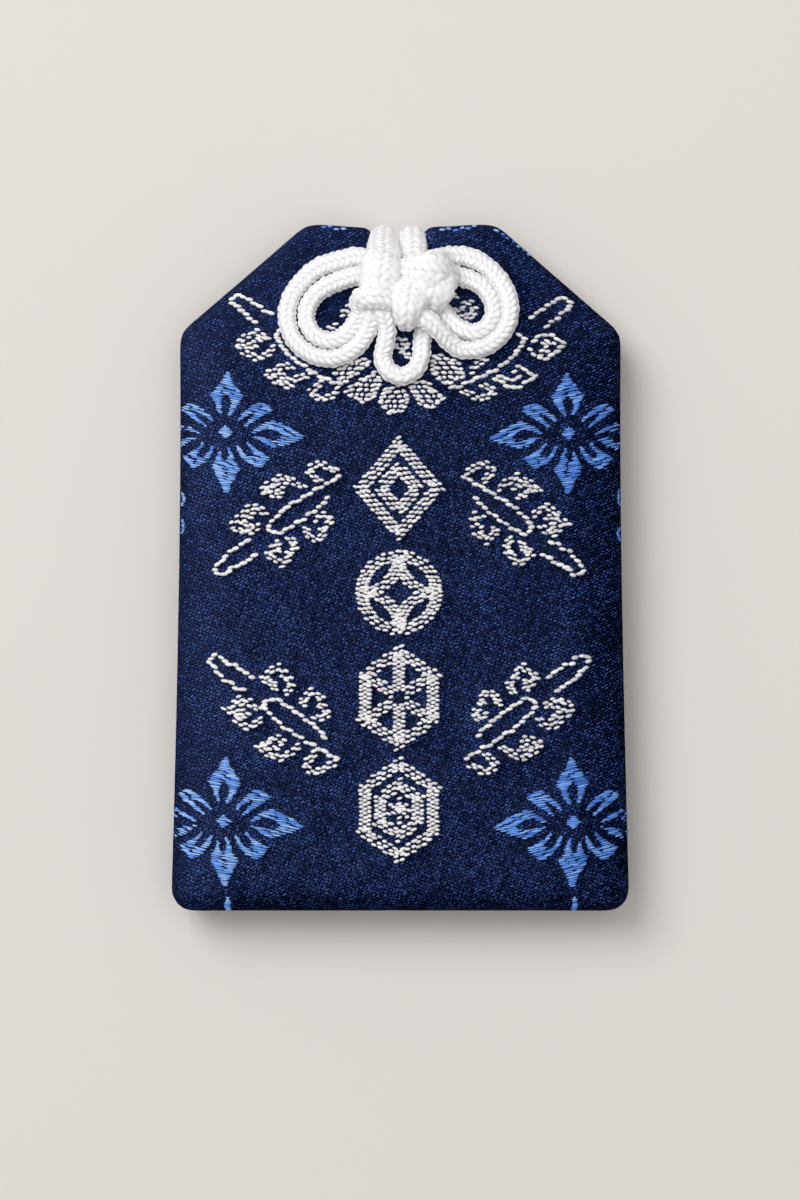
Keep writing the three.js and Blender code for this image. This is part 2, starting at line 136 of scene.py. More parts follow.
# Navy brocade ground: short slanted floats of dark blue silk, with a painted highlight: some floats painted
# brighter where they would catch the light
def navyBrocade():
    material, tree, shader = newMaterial("navy silk brocade ground")
    weave = addNode(tree, "ShaderNodeAttribute", {"attribute_name": "weave"}).outputs["Vector"]
    wander = addNode(tree, "ShaderNodeTexNoise", Vector=weave, Scale=0.9, Detail=1).outputs["Color"]
    shift = addNode(
        tree, "ShaderNodeVectorMath", {"operation": "MULTIPLY_ADD"}, i0=wander, i1=(0.5, 0.5, 0), i2=weave,
    )
    floats = addNode(tree, "ShaderNodeMapping", Vector=shift.outputs[0], Rotation=(0, 0, math.radians(-27)))
    bricks = addNode(
        tree, "ShaderNodeTexBrick", {"offset": 0.37, "offset_frequency": 2, "squash": 1},
        Vector=floats.outputs[0], Color1=(1, 1, 1, 1), Color2=(0.8, 0.8, 0.8, 1), Mortar=(0, 0, 0, 1),
        Scale=1, Mortar_Size=0.085, Mortar_Smooth=1, Bias=0, Brick_Width=0.52, Row_Height=0.27,
    )
    stretched = addNode(tree, "ShaderNodeMapping", Vector=floats.outputs[0], Scale=(2.4, 6.5, 1)).outputs[0]
    fleck = noise(tree, stretched, 1.5, 3)
    broad = noise(tree, weave, 0.16, 2)
    # Painted highlight: the flecks brighten the floats' colour as if they caught the light; the same values
    # also drive the bump
    gloss = math2(tree, "ADD", math2(tree, "MULTIPLY", fleck, 1.1), 0.4)
    thread = math2(tree, "MULTIPLY", bricks.outputs["Color"], gloss)
    tone = math2(tree, "ADD", thread, math2(tree, "MULTIPLY", math2(tree, "SUBTRACT", broad, 0.5), 0.2))
    stops = [(0.05, "#010204"), (0.45, "#02040e"), (0.72, "#060d25"), (0.86, "#132252"), (1, "#4060ad")]
    tree.links.new(ramp(tree, tone, stops), shader.inputs["Base Color"])
    shader.inputs["Roughness"].default_value = 0.5
    shader.inputs["Specular IOR Level"].default_value = 1
    shader.inputs["Specular Tint"].default_value = (0.2, 0.32, 0.95, 1)
    bumpFrom(tree, shader, thread, 0.0001, 0.9)
    return material


# Silk floats of one colour, each a shade of its own at random and painted lighter on the left and darker on
# the right as the light falls, with the fine lines of its filaments
def silkThread(name, dark, middle, light, roughness):
    material, tree, shader = newMaterial(name)
    shade = addNode(tree, "ShaderNodeAttribute", {"attribute_name": "shade"}).outputs["Fac"]
    hairs = noise(tree, inMillimetres(tree, (2000, 14000, 2000), math.radians(8)), 1, 2)
    tone = math2(tree, "ADD", shade, math2(tree, "MULTIPLY", math2(tree, "SUBTRACT", hairs, 0.5), 0.5))
    color = ramp(tree, tone, [(0.05, dark), (0.5, middle), (0.95, light)])
    tree.links.new(color, shader.inputs["Base Color"])
    shader.inputs["Roughness"].default_value = roughness
    shader.inputs["Sheen Weight"].default_value = 0.1
    bumpFrom(tree, shader, hairs, 0.00004, 0.5)
    return material


# White rayon braid: soft and bright, with painted shade: grey painted in where the plaits dip, and fine
# filaments along each plait
def whiteBraid():
    material, tree, shader = newMaterial("white rayon braid")
    creaseShade = addNode(tree, "ShaderNodeAttribute", {"attribute_name": "creaseShade"}).outputs["Fac"]
    hairs = noise(tree, inMillimetres(tree, (6000, 6000, 6000)), 1, 3)
    tone = math2(tree, "ADD", creaseShade, math2(tree, "MULTIPLY", math2(tree, "SUBTRACT", hairs, 0.5), 0.25))
    # Painted shade: the low parts between the plaits are painted grey, the raised plaits white
    color = ramp(tree, tone, [(0, "#c0c0cb"), (0.4, "#f0f0f4"), (0.8, "#fefefe")])
    tree.links.new(color, shader.inputs["Base Color"])
    shader.inputs["Roughness"].default_value = 0.6
    shader.inputs["Sheen Weight"].default_value = 0.2
    shader.inputs["Subsurface Weight"].default_value = 0.15
    shader.inputs["Subsurface Radius"].default_value = (1, 1, 1)
    shader.inputs["Subsurface Scale"].default_value = 0.0003
    bumpFrom(tree, shader, hairs, 0.00003, 0.4)
    return material


# Fibrous sheets: a noise of fibres over a plain tone
def fibreSheet(name, dark, light, scale, roughness, depth):
    material, tree, shader = newMaterial(name)
    fibres = noise(tree, inMillimetres(tree), scale, 4)
    color = ramp(tree, fibres, [(0.3, dark), (0.7, light)])
    tree.links.new(color, shader.inputs["Base Color"])
    shader.inputs["Roughness"].default_value = roughness
    bumpFrom(tree, shader, fibres, depth, 0.5)
    return material


# Planed cypress: straight grain along the slip, pale with honey lines
def planedCypress():
    material, tree, shader = newMaterial("planed cypress")
    grain = noise(tree, inMillimetres(tree, (900, 30, 900)), 1.2, 4)
    color = ramp(tree, grain, [(0.3, "#c79e68"), (0.5, "#e0c193"), (0.75, "#eed7b2")])
    tree.links.new(color, shader.inputs["Base Color"])
    shader.inputs["Roughness"].default_value = 0.55
    bumpFrom(tree, shader, grain, 0.00003, 0.4)
    return material


materials = {
    "brocade": navyBrocade(),
    "blue": silkThread("blue satin silk", "#3a70ca", "#669ef0", "#a2cbfc", 0.42),
    "white": silkThread("off-white silk", "#cccbcd", "#efeeef", "#fdfdfe", 0.55),
    "cord": whiteBraid(),
    "interfacing": fibreSheet("nonwoven interfacing", "#d9d6cc", "#f2f0ea", 3, 0.9, 0.00005),
    "card": fibreSheet("grey board", "#a59e90", "#c6c0b3", 2, 0.85, 0.00002),
    "wadding": fibreSheet("cotton wadding", "#e4e0d6", "#faf8f2", 1.4, 0.95, 0.0002),
    "paper": fibreSheet("mulberry paper", "#e9e4d6", "#fbf8f0", 1.1, 0.8, 0.00002),
    "wood": planedCypress(),
    "thread": silkThread("navy sewing thread", "#101a40", "#1b2a60", "#3a4d92", 0.6),
}

inside = {
    "front_interfacing": "interfacing", "back_interfacing": "interfacing", "stiffener_card": "card",
    "wadding_sheet": "wadding", "slip_wrapper": "paper", "charm_slip": "wood",
    "seam_thread_left": "thread", "seam_thread_right": "thread", "seam_thread_bottom": "thread",
}
for node, finish in inside.items():
    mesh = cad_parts[node].data
    mesh.materials.clear()
    mesh.materials.append(materials[finish])
print("materials made")


# A mesh piece of the object, smooth, with one number per vertex for its material
def addPiece(name, vertices, faces, finish, attribute, values):
    mesh = bpy.data.meshes.new(name)
    mesh.from_pydata([Vector(v) * mm for v in vertices], [], faces)
    mesh.polygons.foreach_set("use_smooth", [True] * len(mesh.polygons))
    mesh.materials.append(materials[finish])
    mesh.attributes.new(attribute, "FLOAT", "POINT").data.foreach_set("value", values)
    mesh.update()
    piece = bpy.data.objects.new(name, mesh)
    scene.collection.objects.link(piece)
    return piece


# The pouch's form in millimetres
pouch = {
    "height": 73.05, "bottomWidth": 48.35, "waistWidth": 46.4, "shoulderWidth": 46.65, "topWidth": 20.2,
    "chamfer": 11.7, "waistY": 6, "corner": 2.4, "shoulderRound": 1.2, "backZ": 2.1, "body": 7, "crown": 0.5,
    "mouth": 3.4, "pinched": 2.6, "pinchMiddle": -0.3, "pinchSides": (2, 4.1), "pinchReach": 6,
    "pinchDepth": 2.52, "mouthTaper": 18, "sag": 0.35, "softEdge": 6.5, "edgeDrop": 1.5,
}
halfHeight = pouch["height"] / 2


def pinchAt(x):
    return 1 - smooth(abs(x - pouch["pinchMiddle"]), *pouch["pinchSides"])


# How far a point lies inside the sides, the bottom and the slanted shoulders
def insideBy(x, y):
    shoulder, top = pouch["shoulderWidth"] / 2, pouch["topWidth"] / 2
    low = max(0, (pouch["waistY"] - y) / (pouch["waistY"] + halfHeight))
    side = mix(pouch["waistWidth"], pouch["bottomWidth"], low * low) / 2
    slant = Vector((pouch["chamfer"], shoulder - top)).normalized()
    slanted = slant.dot(Vector((shoulder - abs(x), halfHeight - pouch["chamfer"] - y)))
    return min(side - abs(x), y + halfHeight, slanted)


# The front drops towards the edges, the mouth is thin and the cord pinches it
def thicknessAt(x, y, edgeDrop=pouch["edgeDrop"]):
    pinch = pinchAt(x) * smooth(y, halfHeight - pouch["pinchReach"], halfHeight - pouch["pinchDepth"])
    mouth = mix(pouch["mouth"], pouch["pinched"], pinch)
    crown = pouch["crown"] * (1 - (2 * x / pouch["bottomWidth"]) ** 2) * (1 - (y / halfHeight) ** 2)
    drop = edgeDrop * min(1, max(0, 1 - insideBy(x, y) / pouch["softEdge"])) ** 2
    return mix(mouth, pouch["body"] + crown - drop, smooth(halfHeight - y, 0, pouch["mouthTaper"]))


def frontZ(x, y):
    return pouch["backZ"] + thicknessAt(x, y)


# Points of a smooth way through stops, at even steps, each with its direction and its blended extra values
def smoothWay(stops, step, extras=None):
    points = [Vector(stop) for stop in stops]
    extras = extras or [()] * len(points)
    padded = [2 * points[0] - points[1], *points, 2 * points[-1] - points[-2]]
    fine = []
    for index in range(len(points) - 1):
        p0, p1, p2, p3 = padded[index:index + 4]
        d0, d1, d2 = [max(1e-4, (b - a).length ** 0.5) for a, b in ((p0, p1), (p1, p2), (p2, p3))]
        m1 = ((p1 - p0) / d0 - (p2 - p0) / (d0 + d1) + (p2 - p1) / d1) * d1
        m2 = ((p2 - p1) / d1 - (p3 - p1) / (d1 + d2) + (p3 - p2) / d2) * d1
        parts = max(4, math.ceil((p2 - p1).length / step * 3))
        for part in range(parts):
            t = part / parts
            cubic = (2 * p1 - 2 * p2 + m1 + m2) * t ** 3
            square = (3 * p2 - 3 * p1 - 2 * m1 - m2) * t ** 2
            place = cubic + square + m1 * t + p1
            fine.append((place, [mix(a, b, t) for a, b in zip(extras[index], extras[index + 1])]))
    fine.append((points[-1], list(extras[-1])))
    ways = [0]
    for (a, _), (b, _) in zip(fine, fine[1:]):
        ways.append(ways[-1] + (b - a).length)
    count = max(1, round(ways[-1] / step))
    even = []
    at = 0
    for number in range(count + 1):
        way = ways[-1] * number / count
        while at < len(fine) - 2 and ways[at + 1] < way:
            at += 1
        share = (way - ways[at]) / max(1e-9, ways[at + 1] - ways[at])
        values = [mix(a, b, share) for a, b in zip(fine[at][1], fine[at + 1][1])]
        even.append((fine[at][0].lerp(fine[at + 1][0], share), values))
    result = []
    for number, (place, values) in enumerate(even):
        before = even[max(0, number - 1)][0]
        after = even[min(count, number + 1)][0]
        result.append((place, (after - before).normalized(), values))
    return result


# The cord's plaits, and the half width and half height of its section, round or pressed by its neighbours
cord = {
    "sides": 36, "step": 0.1, "pitch": 0.7, "column": 1.02, "slant": 0.85, "relief": 0.26, "relieved": 0.75,
    "flank": 0.6, "fullness": (0.86, 0.14), "lowest": 0.02,
}
sections = {
    "round": (0.99, 0.98), "tight": (1.1, 1), "roll": (1.35, 1.05), "broad": (1.65, 1.1), "flat": (2.15, 1.1),
    "full": (2.5, 1.15), "dome": (1.25, 1.1), "wide": (1.07, 0.98), "slim": (0.94, 0.98),
}
knotMiddle = (0.2, 29.6)

# The knot's stops: across and up from its middle, height over the cloth
leftUpright = [
    (-2.3, 2.2, 4.7, "flat"), (-2.4, 1, 4.9, "flat"), (-2.5, -0.2, 4.4, "flat"),
    (-2.5, -1.5, 3.4, "broad"), (-2.2, -3, 3.1, "roll"), (-1.75, -4.6, 2.2),
]
bottomLoop = [
    (-1.9, -6.2, 1.6), (-2.2, -7.6, 1.1), (-1.7, -9, 1.1), (-0.3, -9.7, 1.1), (1.1, -9.1, 1.1),
    (1.8, -7.6, 1.1), (1.9, -6, 1.1),
]
behindRight = [
    (2.2, -4.4, 1.2, "tight"), (2.6, -2.9, 1.7, "tight"), (3.15, -1, 4.1, "flat"), (3.4, 0.5, 4, "flat"),
    (3.5, 2.3, 3.2, "roll"),
]
rightOuterEar = [
    (4.3, 3.05, 1.8, "wide"), (6.1, 3.22, 1.1, "wide"), (7.45, 2.88, 1.1, "wide"), (8.9, 1.97, 1.1),
    (10.2, 0.5, 1.1), (11.05, -1.4, 1.1), (11.15, -3.2, 1.1, "slim"), (10.5, -4.93, 1.1, "slim"),
    (9.07, -6.33, 1.1, "slim"), (7.3, -6.93, 1.1, "slim"), (5.75, -6.8, 1.2), (4.65, -6, 1.8),
]
lowerAcross = [
    (3.6, -4.9, 2.7), (2.4, -3.9, 3.3, "tight"), (0.9, -3, 3.2, "tight"), (-0.5, -2.2, 3.6, "tight"),
    (-1.9, -1.65, 4.6, "roll"), (-3.1, -1.5, 4.8, "roll"), (-4.1, -1.6, 4.1, "roll"),
    (-4.5, -2.1, 2.9, "roll"),
]
leftInnerEar = [
    (-4.6, -3, 2.1), (-5.4, -4.5, 1.3), (-6.5, -5.58, 1.1, "slim"), (-7.7, -5.92, 1.1, "slim"),
    (-8.9, -5.62, 1.1, "slim"), (-9.83, -4.72, 1.1, "slim"), (-10.24, -3.45, 1.1, "slim"),
    (-10, -2.1, 1.1), (-9.2, -0.9, 1.1), (-8, -0.03, 1.1, "wide"), (-6.6, 0.57, 1.1, "wide"),
    (-4.8, 1.02, 1.1, "wide"),
]
behindLeft = [(-3.7, 0.4, 1.4, "tight"), (-3.3, -1, 1.6, "tight"), (-3.2, -2.7, 2.7, "roll")]
leftOuterEar = [
    (-3.6, -4.5, 1.8), (-4.7, -6.3, 1.1), (-6.2, -7.47, 1.1, "slim"), (-7.8, -7.86, 1.1, "slim"),
    (-9.83, -7.33, 1.1, "slim"), (-11.55, -5.78, 1.1, "slim"), (-12.28, -3.5, 1.1), (-11.97, -1.5, 1.1),
    (-11.08, 0.05, 1.1), (-9.1, 1.9, 1.1, "wide"), (-6.6, 2.78, 1.1, "wide"), (-4.8, 3.12, 1.1, "wide"),
]
upperAcross = [
    (-3.4, 2.6, 1.4, "tight"), (-1.9, 1.7, 2.1, "tight"), (-0.3, 1.5, 3.8, "tight"),
    (1.2, 1.3, 4.6, "broad"), (2.5, 1.1, 5, "full"), (3.6, 0.95, 4.6, "full"), (4.4, 0.95, 3.3, "flat"),
]
rightInnerEar = [
    (5.3, 1.1, 1.5, "wide"), (6.6, 0.78, 1.1, "wide"), (7.8, 0.25, 1.1), (8.68, -0.55, 1.1),
    (9.31, -1.8, 1.1, "slim"), (9.4, -3.18, 1.1, "slim"), (8.58, -4.52, 1.1, "slim"),
    (7.3, -5.02, 1.1, "slim"), (6, -4.68, 1.1), (5, -3.9, 1.1),
]
leftTail = [
    (4.3, -3, 1.2), (3.3, -2, 1.2, "tight"), (2.4, -0.8, 1.2, "tight"), (1.5, 0.3, 0, "tight"),
    (1.3, -0.3, -1.4, "tight"), (1.2, -2.2, -2.2, "tight"), (1.2, -5.4, -3.3, "tight"),
]
tongue = [
    (1.15, 2.2, 3.4, "broad"), (0.95, 0.8, 3.2, "broad"), (0.7, -0.6, 4.1, "flat"),
    (0.5, -1.8, 4.7, "flat"), (0.35, -2.9, 4.6, "broad"), (0.3, -3.75, 3.9, "roll"),
    (0.25, -4.1, 2.9, "tight"), (0.2, -3.7, 1.8, "tight"), (0, -2.9, 1.2, "tight"),
    (-0.6, -1.7, 1.15, "tight"), (-1.1, -0.5, 0.8, "tight"), (-1.3, 0.2, -0.3, "tight"),
    (-1.2, -0.5, -1.6, "tight"), (-1.2, -2.2, -2.2, "tight"), (-1.2, -5.4, -3.3, "tight"),
]

# Where the two strands go over the mouth, and the loop behind
hinge = {"y": 32.4, "z": 3.4, "radius": 2.6, "reach": 2.9, "lead": 1.5, "start": math.pi / 6}
leftStrand = {"x": -1.9, "topX": -1.64, "y": 33, "z": 8.7, "fall": 1, "section": (1.88, 1.2)}
rightStrand = {"x": 1.16, "topX": 0.98, "y": 33, "z": 7.1, "fall": 0.75, "section": (1.64, 1.2)}
loopZ = 0.8
loopSides = [
    (-2, 30.6), (-2.2, 28), (-3.2, 21), (-4.8, 13), (-6.4, 5), (-7.3, -3), (-6.9, -9), (-4.6, -13.6),
    (-0.3, -15.6), (4, -13.6), (6.3, -9), (6.7, -3), (5.8, 5), (4.2, 13), (2.6, 21), (1.6, 28),
    (1.4, 30.6),
]


def onCloth(u, v, w, section="round"):
    x = knotMiddle[0] + u
    y = knotMiddle[1] + v
    return (x, y, frontZ(x, y) + w), sections[section]


def onSlope(strand, way):
    y = strand["y"] + way * math.cos(strand["fall"])
    z = strand["z"] - way * math.sin(strand["fall"])
    return (strand["x"], y, z), strand["section"]


def overMouth(strand):
    steps = 6
    stops = [onSlope(strand, 0), onSlope(strand, 1)]
    for i in range(steps + 1):
        turn = mix(hinge["start"], -math.pi / 2, i / steps)
        y = hinge["y"] + hinge["reach"] * math.cos(turn)
        z = hinge["z"] + hinge["radius"] * math.sin(turn)
        broad = 1 - smooth(i, -1, 2)
        section = tuple(mix(a, b, broad) for a, b in zip(sections["dome"], strand["section"]))
        stops.append(((mix(strand["topX"], strand["x"], broad), y, z), section))
    stops.append(((strand["topX"], hinge["y"] - hinge["lead"], loopZ), sections["round"]))
    return stops


# One unbroken cord: from its hidden end through the knot, over the mouth, round the loop to the tongue
knotStops = [
    *leftUpright, *bottomLoop, *behindRight, *rightOuterEar, *lowerAcross, *leftInnerEar, *behindLeft,
    *leftOuterEar, *upperAcross, *rightInnerEar, *leftTail,
]
slopeStarts = (-1.2, -0.3)
knotWay = [onCloth(*stop) for stop in reversed(knotStops)] + [onSlope(leftStrand, way) for way in slopeStarts]
loopWay = [((x, y, loopZ), sections["round"]) for x, y in loopSides]
loopWay = overMouth(leftStrand) + loopWay + overMouth(rightStrand)[::-1]
tongueWay = [onSlope(rightStrand, way) for way in slopeStarts[::-1]] + [onCloth(*stop) for stop in tongue]
wholeWay = knotWay + loopWay + tongueWay
stations = smoothWay([p for p, _ in wholeWay], cord["step"], [s for _, s in wholeWay])
print("cord stations", len(stations))


# Height of the plaits: columns of slanted grains, leaning to each other in pairs from the seam on top
def plait(across, along):
    column = math.floor(across / cord["column"])
    side = 2 * (across / cord["column"] - column) - 1
    odd = column % 2
    phase = along / cord["pitch"] + (cord["slant"] / 2 if odd else -cord["slant"] / 2) * side + 0.5 * odd
    row = math.floor(phase)
    rowSide = 2 * (phase - row) - 1
    even, uneven = cord["fullness"]
    full = even + uneven * math.sin(4.3 * column + 2.7 * row)
    return math.sqrt(1 - rowSide ** 2) * (1 - cord["flank"] * side ** 2) * full


# Rings of the whole cord. The plaits keep one seam of theirs on top where the cord lies flat.
def cordRings():
    steep, flat = 0.25, 0.5
    up = Vector((0, 0, 1))
    normal = up.cross(stations[0][1]).normalized()
    top = up
    frames = []
    seams = []
    seam = 0
    for _, along, _ in stations:
        normal = (normal - along * normal.dot(along)).normalized()
        binormal = along.cross(normal)
        rise = up - along * along.z
        top = rise.normalized() if rise.length > steep else (top - along * top.dot(along)).normalized()
        if rise.length > flat:
            turn = math.atan2(rise.dot(binormal), rise.dot(normal))
            seam = turn + math.pi * round((seam - turn) / math.pi)
        seams.append(seam)
        frames.append((normal.copy(), binormal, top.copy()))
    reach = 12
    sides = cord["sides"]
    rings = []
    for index, (place, along, (wide, high)) in enumerate(stations):
        near = seams[max(0, index - reach):index + reach + 1]
        seam = sum(near) / len(near)
        normal, binormal, top = frames[index]
        ring = []
        across = 0
        before = None
        for k in range(-sides // 2, sides // 2):
            angle = seam + 2 * math.pi * k / sides
            out = normal * math.cos(angle) + binormal * math.sin(angle)
            lift = out.dot(top)
            radius = 1 / math.hypot(math.sqrt(max(0, 1 - lift * lift)) / wide, lift / high)
            base = out * radius
            across += (base - before).length if before else 0
            before = base
            ring.append((base, out, across))
        middle = ring[sides // 2][2]
        finished = []
        for base, out, across in ring:
            bulge = plait(across - middle, index * cord["step"])
            point = place + base - out * cord["relief"] * (cord["relieved"] - bulge)
            point.z = max(point.z, cord["lowest"])
            finished.append((point, bulge))
        rings.append(finished)
    return rings


# A tube over some of the rings, its ends closed
def tubeOver(rings, first, last):
    sides = cord["sides"]
    part = rings[first:last]
    vertices = [point for ring in part for point, _ in ring]
    values = [bulge for ring in part for _, bulge in ring]
    faces = []
    for row in range(len(part) - 1):
        for k in range(sides):
            a = row * sides + k
            b = row * sides + (k + 1) % sides
            faces.append((a, b, b + sides, a + sides))
    faces.append(tuple(range(sides - 1, -1, -1)))
    faces.append(tuple(range((len(part) - 1) * sides, len(part) * sides)))
    return vertices, faces, values


def nearestStation(place):
    return min(range(len(stations)), key=lambda i: (stations[i][0] - Vector(place)).length_squared)


rings = cordRings()
loopFirst = nearestStation(onSlope(leftStrand, 0)[0])
loopLast = nearestStation(onSlope(rightStrand, 0)[0])
parts = {"knot": (0, loopFirst + 1), "loop": (loopFirst, loopLast + 1), "tongue": (loopLast, len(rings))}
pieces = {}
# The plait heights go with each cord piece, for the shade painted between the plaits
for name, (first, last) in parts.items():
    vertices, faces, values = tubeOver(rings, first, last)
    pieces[name] = addPiece("cord_" + name, vertices, faces, "cord", "creaseShade", values)
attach(pieces["knot"], "pouch")
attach(pieces["tongue"], "pouch")
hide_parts("knot_cord")
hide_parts("tongue_cord")
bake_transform(pieces["loop"])
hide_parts("hanging_loop", "loop_bend_left", "loop_bend_right")


# The pouch's outline, fuller on the left, with the dip under the cord and the crest between its strands
dip = {
    "middle": -0.45, "sides": (2.1, 2.9), "sagSides": (2, 9), "crest": 0.8, "crestAt": -0.25,
    "crestWidth": 0.4,
}
leftFullness = 1.014


def pouchOutline():
    bottom, shoulder, top = pouch["bottomWidth"] / 2, pouch["shoulderWidth"] / 2, pouch["topWidth"] / 2
    shoulderY = halfHeight - pouch["chamfer"]
    r, soft = pouch["corner"], pouch["shoulderRound"]
    slant = Vector((top - shoulder, pouch["chamfer"])).normalized()

    def curve(a, b, c, count):
        a, b, c = Vector(a), Vector(b), Vector(c)
        shares = [i / count for i in range(count)]
        return [a * (1 - t) ** 2 + b * 2 * t * (1 - t) + c * t * t for t in shares]

    def line(a, b, count):
        return curve(a, (Vector(a) + Vector(b)) / 2, b, count)

    shoulderEnd = Vector((shoulder, shoulderY)) + slant * soft
    slantEnd = Vector((top, halfHeight)) - slant * soft
    right = line((0, -halfHeight), (bottom - r, -halfHeight), 14)
    for i in range(6):
        turn = math.pi / 12 * i - math.pi / 2
        right.append(Vector((bottom - r + r * math.cos(turn), r - halfHeight + r * math.sin(turn))))
    sideEnd = (shoulder, shoulderY - soft)
    right += curve((bottom, r - halfHeight), (pouch["waistWidth"] - shoulder, pouch["waistY"]), sideEnd, 30)
    right += curve(sideEnd, (shoulder, shoulderY), shoulderEnd, 4)
    right += line(shoulderEnd, slantEnd, 10)
    right += curve(slantEnd, (top, halfHeight), (top - soft, halfHeight), 4)
    right += line((top - soft, halfHeight), (0, halfHeight), 48)
    outline = right + [Vector((0, halfHeight))] + [Vector((-p.x, p.y)) for p in reversed(right[1:])]
    for p in outline:
        p.x *= leftFullness if p.x < 0 else 1
        if p.y > halfHeight - 0.01:
            away = abs(p.x - dip["middle"])
            crest = 1 - dip["crest"] * math.exp(-((p.x - dip["crestAt"]) / dip["crestWidth"]) ** 2)
            p.y -= pouch["pinchDepth"] * (1 - smooth(away, *dip["sides"])) * crest
            p.y -= pouch["sag"] * (1 - smooth(away, *dip["sagSides"]))
    return outline


# The pouch is formed and settled at ten times its size, which suits the cloth solver
padding = {
    "scale": 10, "voxel": 5.94, "roll": 1.8, "inset": 0.08, "pressure": 4, "frames": 20, "cap": 0.35,
    "sideCap": 0.08, "slack": -0.015,
}


def formPouch():
    outline = pouchOutline()
    deselect()
    bpy.ops.mesh.primitive_circle_add(vertices=len(outline), radius=1, fill_type="NGON", location=(0, 0, 0))
    piece = bpy.context.object
    piece.name = "brocade_pouch"
    big = padding["scale"] * mm
    for vertex, p in zip(piece.data.vertices, outline):
        vertex.co = (p.x * big, p.y * big, 0)
    bpy.ops.object.mode_set(mode="EDIT")
    bpy.ops.mesh.select_all(action="SELECT")
    bpy.ops.mesh.extrude_region_move(TRANSFORM_OT_translate={"value": (0, 0, pouch["body"] * big)})
    bpy.ops.mesh.select_all(action="SELECT")
    bpy.ops.mesh.normals_make_consistent(inside=False)
    bpy.ops.object.mode_set(mode="OBJECT")
    bevel = piece.modifiers.new("roll", "BEVEL")
    bevel.width = padding["roll"] * big
    bevel.segments = 8
    bevel.limit_method = "ANGLE"
    bevel.angle_limit = math.radians(60)
    bevel.use_clamp_overlap = False
    remesh = piece.modifiers.new("even", "REMESH")
    remesh.mode = "VOXEL"
    remesh.voxel_size = padding["voxel"] * mm
    remesh.use_smooth_shade = True
    for modifier in list(piece.modifiers):
        bpy.ops.object.modifier_apply(modifier=modifier.name)
    for vertex in piece.data.vertices:
        x, y, z = vertex.co / big
        vertex.co.z = (pouch["backZ"] + z / pouch["body"] * thicknessAt(x, y)) * big
    return piece


def formedNormals(piece):
    piece.data.update()
    return [v.normal.copy() for v in piece.data.vertices]


# Cloth settled over its filling: slack, blown out by a low pressure, each point held near its form
def settle(piece):
    big = padding["scale"] * mm
    inset = padding["inset"] * big
    for vertex, normal in zip(piece.data.vertices, formedNormals(piece)):
        vertex.co -= normal * inset
    before = [v.co.copy() for v in piece.data.vertices]
    cloth = piece.modifiers.new("cloth", "CLOTH")
    cloth.settings.quality = 5
    cloth.settings.use_pressure = True
    cloth.settings.uniform_pressure_force = padding["pressure"]
    cloth.settings.effector_weights.gravity = 0
    cloth.settings.shrink_min = padding["slack"]
    cloth.collision_settings.use_collision = False
    cloth.point_cache.frame_end = padding["frames"]
    for number in range(1, padding["frames"] + 1):
        scene.frame_set(number)
    settled = piece.evaluated_get(bpy.context.evaluated_depsgraph_get()).to_mesh()
    after = [v.co.copy() for v in settled.vertices]
    piece.modifiers.remove(cloth)
    scene.frame_set(1)
    cap = padding["cap"] * big
    sideCap = padding["sideCap"] * big
    for vertex, start, end in zip(piece.data.vertices, before, after):
        move = end - start
        aside = math.hypot(move.x, move.y)
        share = min(1, sideCap / max(aside, 1e-9))
        vertex.co = start + Vector((move.x * share, move.y * share, min(cap, max(-cap, move.z))))


# The seam round the sides and the bottom, and the deeper slit of the mouth
seam = {"depth": 0.28, "slit": 0.9, "halfWidth": 0.3, "upright": 0.6, "slitFrom": 2.6, "slitTo": 0.6}


def pressSeam(piece):
    for vertex, normal in zip(piece.data.vertices, formedNormals(piece)):
        x, y, z = vertex.co / mm
        flat = Vector((normal.x, normal.y, 0))
        if flat.length < seam["upright"]:
            continue
        middle = pouch["backZ"] + thicknessAt(x, y, 0) / 2
        near = math.exp(-((z - middle) / seam["halfWidth"]) ** 2)
        slit = smooth(y, halfHeight - seam["slitFrom"], halfHeight - seam["slitTo"])
        depth = mix(seam["depth"], seam["slit"], slit)
        vertex.co -= flat.normalized() * near * depth * mm


# Back to true size, with its seam, and flat cloth coordinates that run down over the edges
def finishPouch(piece):
    big = padding["scale"]
    for vertex in piece.data.vertices:
        vertex.co /= big
        vertex.co.z = max(vertex.co.z, pouch["backZ"] * mm)
    deselect()
    piece.select_set(True)
    bpy.context.view_layer.objects.active = piece
    piece.modifiers.new("fine", "SUBSURF").levels = 1
    bpy.ops.object.modifier_apply(modifier="fine")
    pressSeam(piece)
    piece.data.polygons.foreach_set("use_smooth", [True] * len(piece.data.polygons))
    weave = []
    for vertex, normal in zip(piece.data.vertices, formedNormals(piece)):
        x, y, z = vertex.co / mm
        thickness = thicknessAt(x, y)
        fall = pouch["backZ"] + thickness - z
        if fall > thickness / 2:
            fall = thickness - fall
        weave += [x + normal.x * fall, y + normal.y * fall, 0]
    piece.data.attributes.new("weave", "FLOAT_VECTOR", "POINT").data.foreach_set("vector", weave)
    piece.data.materials.clear()
    piece.data.materials.append(materials["brocade"])


pouchPiece = formPouch()
settle(pouchPiece)
finishPouch(pouchPiece)
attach(pouchPiece, "pouch")
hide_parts("front_panel", "back_panel")
print("pouch made", len(pouchPiece.data.polygons))

# Woven figures, in millimetres from the pouch's middle, all built of single thread floats on the cloth
rng = random.Random(11)
surface = BVHTree.FromPolygons(
    [v.co.copy() for v in pouchPiece.data.vertices], [tuple(p.vertices) for p in pouchPiece.data.polygons],
)


